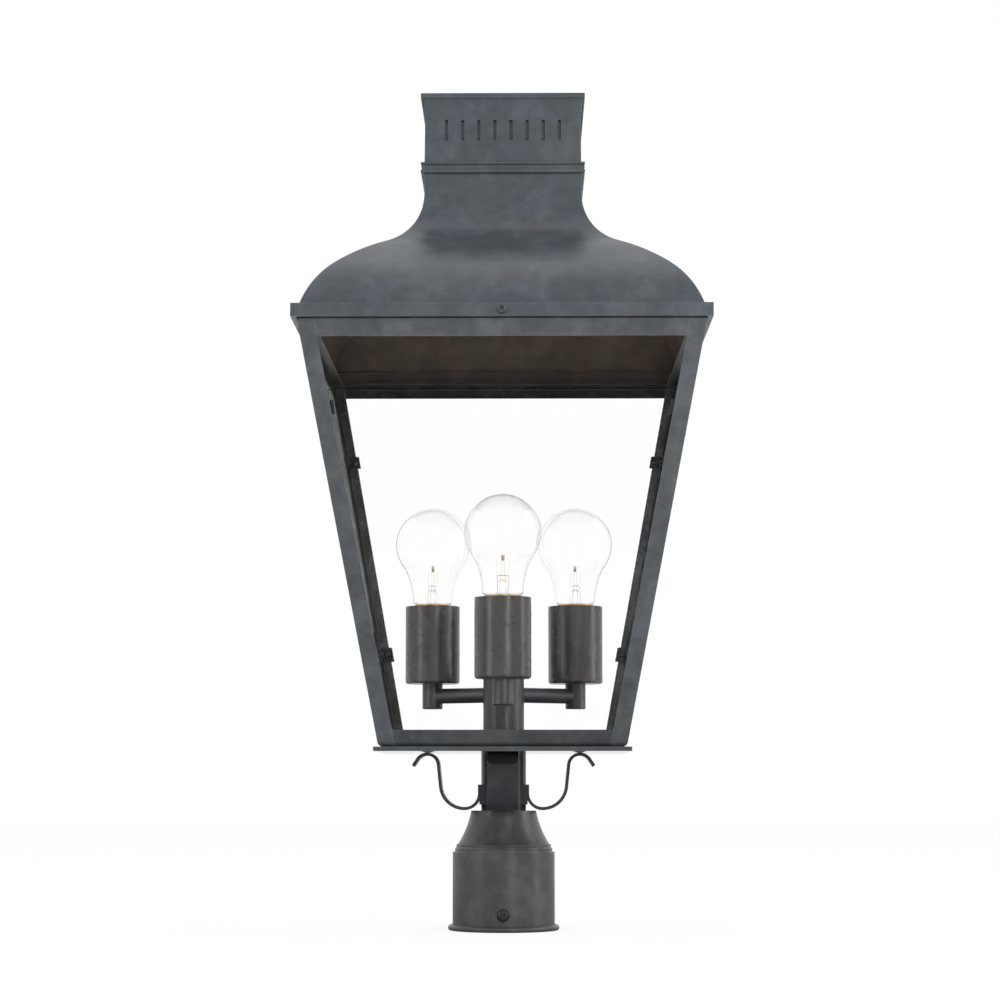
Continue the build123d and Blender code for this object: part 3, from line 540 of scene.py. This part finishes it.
# The screw base: a flared collar round the glass, a rolled thread, a dark insulator and a contact tip
def makeLampBase(name):
    look = lampBase
    radius, ridge, pitch = look["radius"], look["threadRidge"], look["threadPitch"]
    top, foot = look["threadTop"], look["threadFoot"]
    rings = round((top - foot) / pitch * look["ringsPerTurn"])
    tip, tipFoot = look["tipRadius"], look["tipFoot"]
    tipIn, tipUp = look["tipRound"]
    outline = [(radius, bulb["mouthLevel"])]
    outline += [(radius + out * mm, level * mm) for out, level in look["collar"]]
    outline += [(radius, top - (top - foot) * i / rings) for i in range(rings + 1)]
    outline += [(radius - look["coneDraw"], look["coneTop"]), (look["coneRadius"], look["coneFoot"]),
                (tip, look["coneFoot"]), (tip, tipFoot + tipUp), (tip - tipIn, tipFoot), (0, tipFoot)]
    base = turnOnLathe(name, outline, (0, 0), look["lathedSteps"])
    for vertex in base.data.vertices:
        level = vertex.co.z
        turn = math.atan2(vertex.co.y, vertex.co.x)
        fade = min(1, (top - level) / pitch, (level - foot) / pitch)
        wave = 0.5 + 0.5 * math.cos(2 * math.pi * level / pitch - turn)
        away = (radius + ridge * wave * max(fade, 0)) / radius
        vertex.co.x *= away
        vertex.co.y *= away
    base.data.materials.append(brass)
    base.data.materials.append(blackClip)
    base.data.materials.append(tinSolder)
    for face in base.data.polygons:
        level = face.center.z
        if level < look["coneFoot"] + mergeReach:
            face.material_index = 2
        elif level < look["coneTop"]:
            face.material_index = 1
    return base


stem = {
    "flare": [(11.4, -1.2), (7.068, 0.6), (5.06, 2.6), (4.4, 4.0), (4.4, 7.0)],    # mm out, mm up
    "head": [(4.092, 16.9), (3.08, 17.4), (0, 17.4)],
    "tubeRadius": 4.4 * mm,
    "pinchFoot": 9.0 * mm,
    "pinchTop": 17.4 * mm,
    "pinchRows": 6,
    "pinchRise": 0.6,         # share of the pinch in which it gets flat
    "pinchThick": 0.42,
    "pinchWide": 1.1,
    "wall": 0.3 * mm,
    "lathedSteps": 40,
}


# The glass stem: a flared tube, pinched flat at its head round the wires
def makeStem(name):
    look = stem
    tube, rows = look["tubeRadius"], look["pinchRows"]
    pinch = look["pinchTop"] - look["pinchFoot"]
    outline = [(out * mm, level * mm) for out, level in look["flare"]]
    outline += [(tube, look["pinchFoot"] + pinch * i / rows) for i in range(rows)]
    outline += [(out * mm, level * mm) for out, level in look["head"]]
    glass = turnOnLathe(name, outline, (0, 0), look["lathedSteps"])
    for vertex in glass.data.vertices:
        share = min(max((vertex.co.z - look["pinchFoot"]) / (look["pinchRise"] * pinch), 0), 1)
        share = share * share * (3 - 2 * share)
        vertex.co.x *= 1 + share * (look["pinchWide"] - 1)
        vertex.co.y *= 1 + share * (look["pinchThick"] - 1)
    wall = glass.modifiers.new("wall", "SOLIDIFY")
    wall.thickness = look["wall"]
    wall.offset = -1
    bpy.ops.object.modifier_apply(modifier="wall")
    glass.data.materials.append(blownGlass)
    return glass


wires = {
    "leadRadius": 0.12 * mm,
    "supportRadius": 0.08 * mm,
    "sealRadius": 0.24 * mm,
    "leadPath": [(2.66, -1.0), (2.66, 9.0), (2.1, 12.5), (1.47, 17.2), (1.4, 23.0), (1.33, 32.2)],
    "supportPath": [(4.0, 16.2), (4.7, 19.5), (5.2, 27.5), (5.0, 28.3)],    # mm out, mm up, as above
    "sealArch": [
        (-3.6, 12.4), (-2.6, 13.2), (-1.2, 13.7), (0.2, 13.3),
        (1.6, 13.6), (2.8, 13.2), (3.6, 12.2)],
    "roundness": 3,
    "fineRoundness": 2,
    "coilWire": 0.14 * mm,
    "coilRadius": 0.62 * mm,
    "coilTop": 33.4 * mm,
    "coilFoot": 29.0 * mm,
    "coilSpread": 0.75 * mm,
    "coilTurns": 15,
    "pointsPerTurn": 9,
}


# Leads and supports: up through the pinch, then splayed towards the coil
def makeLeads(name):
    look = wires
    pieces = []
    for side in (-1, 1):
        lead = [(side * out * mm, 0, level * mm) for out, level in look["leadPath"]]
        lead.append((side * look["coilSpread"], 0, look["coilTop"]))
        pieces.append(drawWire("lead", lead, look["leadRadius"], look["roundness"]))
        support = [(side * out * mm, 0, level * mm) for out, level in look["supportPath"]]
        pieces.append(drawWire("support", support, look["supportRadius"], look["fineRoundness"]))
    return joinPieces(name, pieces)


# Seal wires: short arched copper-clad wires that run through the pinch
def makeSeals(name):
    arch = [(out * mm, 0, level * mm) for out, level in wires["sealArch"]]
    return drawWire(name, arch, wires["sealRadius"], wires["roundness"])


# The coil: a fine helix hung as a narrow V between the leads
def makeCoil(name):
    look = wires
    count = look["coilTurns"] * look["pointsPerTurn"]
    points = []
    for i in range(count + 1):
        share = i / count
        along = 2 * share - 1
        dip = 1 - along * along
        turn = 2 * math.pi * look["coilTurns"] * share
        points.append((
            look["coilSpread"] * along + look["coilRadius"] * math.cos(turn),
            look["coilRadius"] * math.sin(turn),
            look["coilTop"] - dip * (look["coilTop"] - look["coilFoot"])))
    return drawWire(name, points, look["coilWire"], look["fineRoundness"])


glassModel = makeBulbGlass("bulbGlassModel")
glassModel.data.materials.append(blownGlass)
baseModel = makeLampBase("lampBaseModel")
stemModel = makeStem("stemModel")
leadsModel = makeLeads("leadsModel")
leadsModel.data.materials.append(nickelWire)
sealsModel = makeSeals("sealsModel")
sealsModel.data.materials.append(copperWire)
coilModel = makeCoil("coilModel")
coilModel.data.materials.append(tungsten)
bulbParts = [
    (glassModel, "bulbGlass", "bulb_glass", "bulb_glass"),
    (baseModel, "bulbBase", "bulb_base", "brass"),
    (stemModel, "bulbStem", "filament", "lamp_stem"),
    (leadsModel, "bulbLeads", "filament", "steel"),
    (sealsModel, "bulbSeals", "filament", "brass"),
    (coilModel, "bulbCoil", "filament", "steel"),
]
bulbTwist = {"front": 10, "left": 48, "right": -40}    # degrees that each bulb is screwed round
for place, twist in bulbTwist.items():
    low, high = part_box("bulb_glass_" + place)
    middle = [(low[i] + high[i]) / 2 for i in range(2)]
    rim = low[2] - bulb["mouthLevel"]
    for model, label, node, slotName in bulbParts:
        piece = placeCopy(model, label + place.capitalize(), (*middle, rim), math.radians(twist))
        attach(piece, "bulb_" + place)
        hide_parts(f"{node}_{place}")
for model, *_ in bulbParts:
    bpy.data.objects.remove(model)
print("bulbs made")


slotLiner = {
    "half": 59.3 * mm,
    "wall": 0.6 * mm,
    "height": 46.0 * mm,
    "lidGap": 0.2 * mm,
    "hemHeight": 4.0 * mm,
    "hemInset": 1.2 * mm,
}


# The rain liner: a square sheet sleeve with a drawn-in hem, hung from the lid behind the chimney's slots
def makeSlotLiner(name):
    look = slotLiner
    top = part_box("chimney_wall")[1][2] - look["lidGap"]
    deselectAll()
    bpy.ops.mesh.primitive_plane_add(size=2 * look["half"], location=(0, 0, top))
    piece = bpy.context.object
    piece.name = name
    bpy.ops.object.transform_apply(location=True)
    bpy.ops.object.mode_set(mode="EDIT")
    bpy.ops.mesh.delete(type="ONLY_FACE")
    bpy.ops.mesh.select_all(action="SELECT")
    straight = look["height"] - look["hemHeight"]
    bpy.ops.mesh.extrude_region_move(TRANSFORM_OT_translate={"value": (0, 0, -straight)})
    bpy.ops.mesh.extrude_region_move(TRANSFORM_OT_translate={"value": (0, 0, -look["hemHeight"])})
    drawnIn = 1 - look["hemInset"] / look["half"]
    bpy.ops.transform.resize(value=(drawnIn, drawnIn, 1))
    bpy.ops.mesh.select_all(action="SELECT")
    bpy.ops.mesh.normals_make_consistent(inside=False)
    bpy.ops.object.mode_set(mode="OBJECT")
    wall = piece.modifiers.new("wall", "SOLIDIFY")
    wall.thickness = look["wall"]
    wall.offset = -1
    bpy.ops.object.modifier_apply(modifier="wall")
    # The liner takes the darker foot sheet, painted shade behind the chimney's slots
    piece.data.materials.append(footSheet)
    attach(piece, "roof")


makeSlotLiner("slotLiner")
print("liner made")

studio = {
    "floorSize": 12.0,
    "floorPaint": "#f4f4f4",
    "floorShine": 0.86,            # share of the floor that shows as plain white
    "floorWhite": 1.045,           # makes up for the rest of the floor, which is shaded paint
    "mirroredEdge": (0.35, 1.2),   # metres out, between which the mirrored floor goes from near to far: painted shade near the lantern
    "mirroredNear": 0.30,
    "mirroredFar": 0.75,
    "worldOnObject": 0.72,         # the surroundings' strength as light on the lantern
}


# Rays that show a surface itself: straight from the camera, off a gloss or through glass
def showingRays(tree, path):
    straight = larger(tree, path.outputs["Is Camera Ray"], path.outputs["Is Glossy Ray"])
    return larger(tree, straight, path.outputs["Is Transmission Ray"])


# The floor: matt white paint that keeps the shadow, and in its mirror image a painted shade, darker near the
# lantern than far out
def makeFloor():
    look = studio
    deselectAll()
    bpy.ops.mesh.primitive_plane_add(size=look["floorSize"], location=(0, 0, 0))
    floor = bpy.context.object
    floor.name = "studioFloor"
    floorPaint, tree = newMaterial("MattWhiteFloorPaint")
    path = addNode(tree, "ShaderNodeLightPath")
    share = addNode(tree, "ShaderNodeMath", {
        0: showingRays(tree, path), 1: look["floorShine"]}, operation="MULTIPLY")
    matt = addNode(tree, "ShaderNodeBsdfDiffuse", {"Color": toLinear(look["floorPaint"])})
    plain = addNode(tree, "ShaderNodeEmission", {"Color": white, "Strength": look["floorWhite"]})
    sweep = addNode(tree, "ShaderNodeMixShader", {
        0: share.outputs[0], 1: matt.outputs["BSDF"], 2: plain.outputs["Emission"]})
    ground = addNode(tree, "ShaderNodeVectorMath", {
        0: addNode(tree, "ShaderNodeNewGeometry").outputs["Position"]}, operation="LENGTH")
    farOut = addNode(tree, "ShaderNodeMapRange", {
        "Value": ground.outputs["Value"],
        "From Min": look["mirroredEdge"][0], "From Max": look["mirroredEdge"][1],
        "To Min": look["mirroredNear"], "To Max": look["mirroredFar"]})
    mirrored = addNode(tree, "ShaderNodeEmission", {"Color": white, "Strength": farOut.outputs["Result"]})
    bounced = addNode(tree, "ShaderNodeMath", {
        0: path.outputs["Is Glossy Ray"], 1: path.outputs["Is Transmission Ray"]},
        operation="SUBTRACT", use_clamp=True)
    mixed = addNode(tree, "ShaderNodeMixShader", {
        0: bounced.outputs[0], 1: sweep.outputs["Shader"], 2: mirrored.outputs["Emission"]})
    addNode(tree, "ShaderNodeOutputMaterial", {"Surface": mixed.outputs["Shader"]})
    floor.data.materials.append(floorPaint)


# White all round, a little softer where it only lights the lantern
def makeWorld():
    world = bpy.data.worlds.new("softWhiteStudio")
    bpy.context.scene.world = world
    world.use_nodes = True
    tree = world.node_tree
    tree.nodes.clear()
    path = addNode(tree, "ShaderNodeLightPath")
    strength = addNode(tree, "ShaderNodeMapRange", {
        "Value": showingRays(tree, path), "To Min": studio["worldOnObject"], "To Max": 1.0})
    backdrop = addNode(tree, "ShaderNodeBackground", {
        "Color": white, "Strength": strength.outputs["Result"]})
    addNode(tree, "ShaderNodeOutputWorld", {"Surface": backdrop.outputs["Background"]})


# Each lamp by its bearing: degrees to the right of the camera's line and up from level, and metres away
lamps = {
    "stripBesideCamera": {"turn": 20, "rise": 8, "away": 2.2, "size": (0.18, 1.8), "watts": 8},
    "softboxRight": {"turn": 82, "rise": 10, "away": 2.0, "size": (0.7, 1.6), "watts": 11},
    "softboxLeft": {"turn": -54, "rise": 10, "away": 2.0, "size": (0.4, 1.6), "watts": 5},
    "softboxOverhead": {"turn": 180, "rise": 83, "away": 2.0, "size": (1.8, 1.2), "watts": 4.5},
}
lampTarget = Vector((0, 0, 0.35))


def makeLamps():
    for lampName, lamp in lamps.items():
        turn, rise = math.radians(lamp["turn"]), math.radians(lamp["rise"])
        bearing = Vector((math.sin(turn) * math.cos(rise), -math.cos(turn) * math.cos(rise), math.sin(rise)))
        deselectAll()
        bpy.ops.object.light_add(type="AREA", location=lampTarget + lamp["away"] * bearing)
        light = bpy.context.object
        light.name = lampName
        light.data.shape = "RECTANGLE"
        light.data.size, light.data.size_y = lamp["size"]
        light.data.energy = lamp["watts"]
        light.rotation_euler = bearing.to_track_quat("Z", "Y").to_euler()


view = {
    "eye": (17.0 * mm, -1950.0 * mm, 113.64 * mm),
    "pitchUp": math.radians(6.676),
    "turnLeft": math.radians(0.585),
    "lens": 87.66,
    "sensor": 36.0,
    "farEnd": 50,
}


# The camera stands a little right of the middle, low down, and looks slightly up
def makeCamera():
    deselectAll()
    facing = (math.pi / 2 + view["pitchUp"], 0, view["turnLeft"])
    bpy.ops.object.camera_add(location=view["eye"], rotation=facing)
    camera = bpy.context.object
    camera.name = "photoCamera"
    camera.data.lens = view["lens"]
    camera.data.sensor_width = view["sensor"]
    camera.data.clip_end = view["farEnd"]
    bpy.context.scene.camera = camera


makeFloor()
makeWorld()
makeLamps()
makeCamera()
bpy.context.scene.view_settings.view_transform = "Standard"
print("studio set")
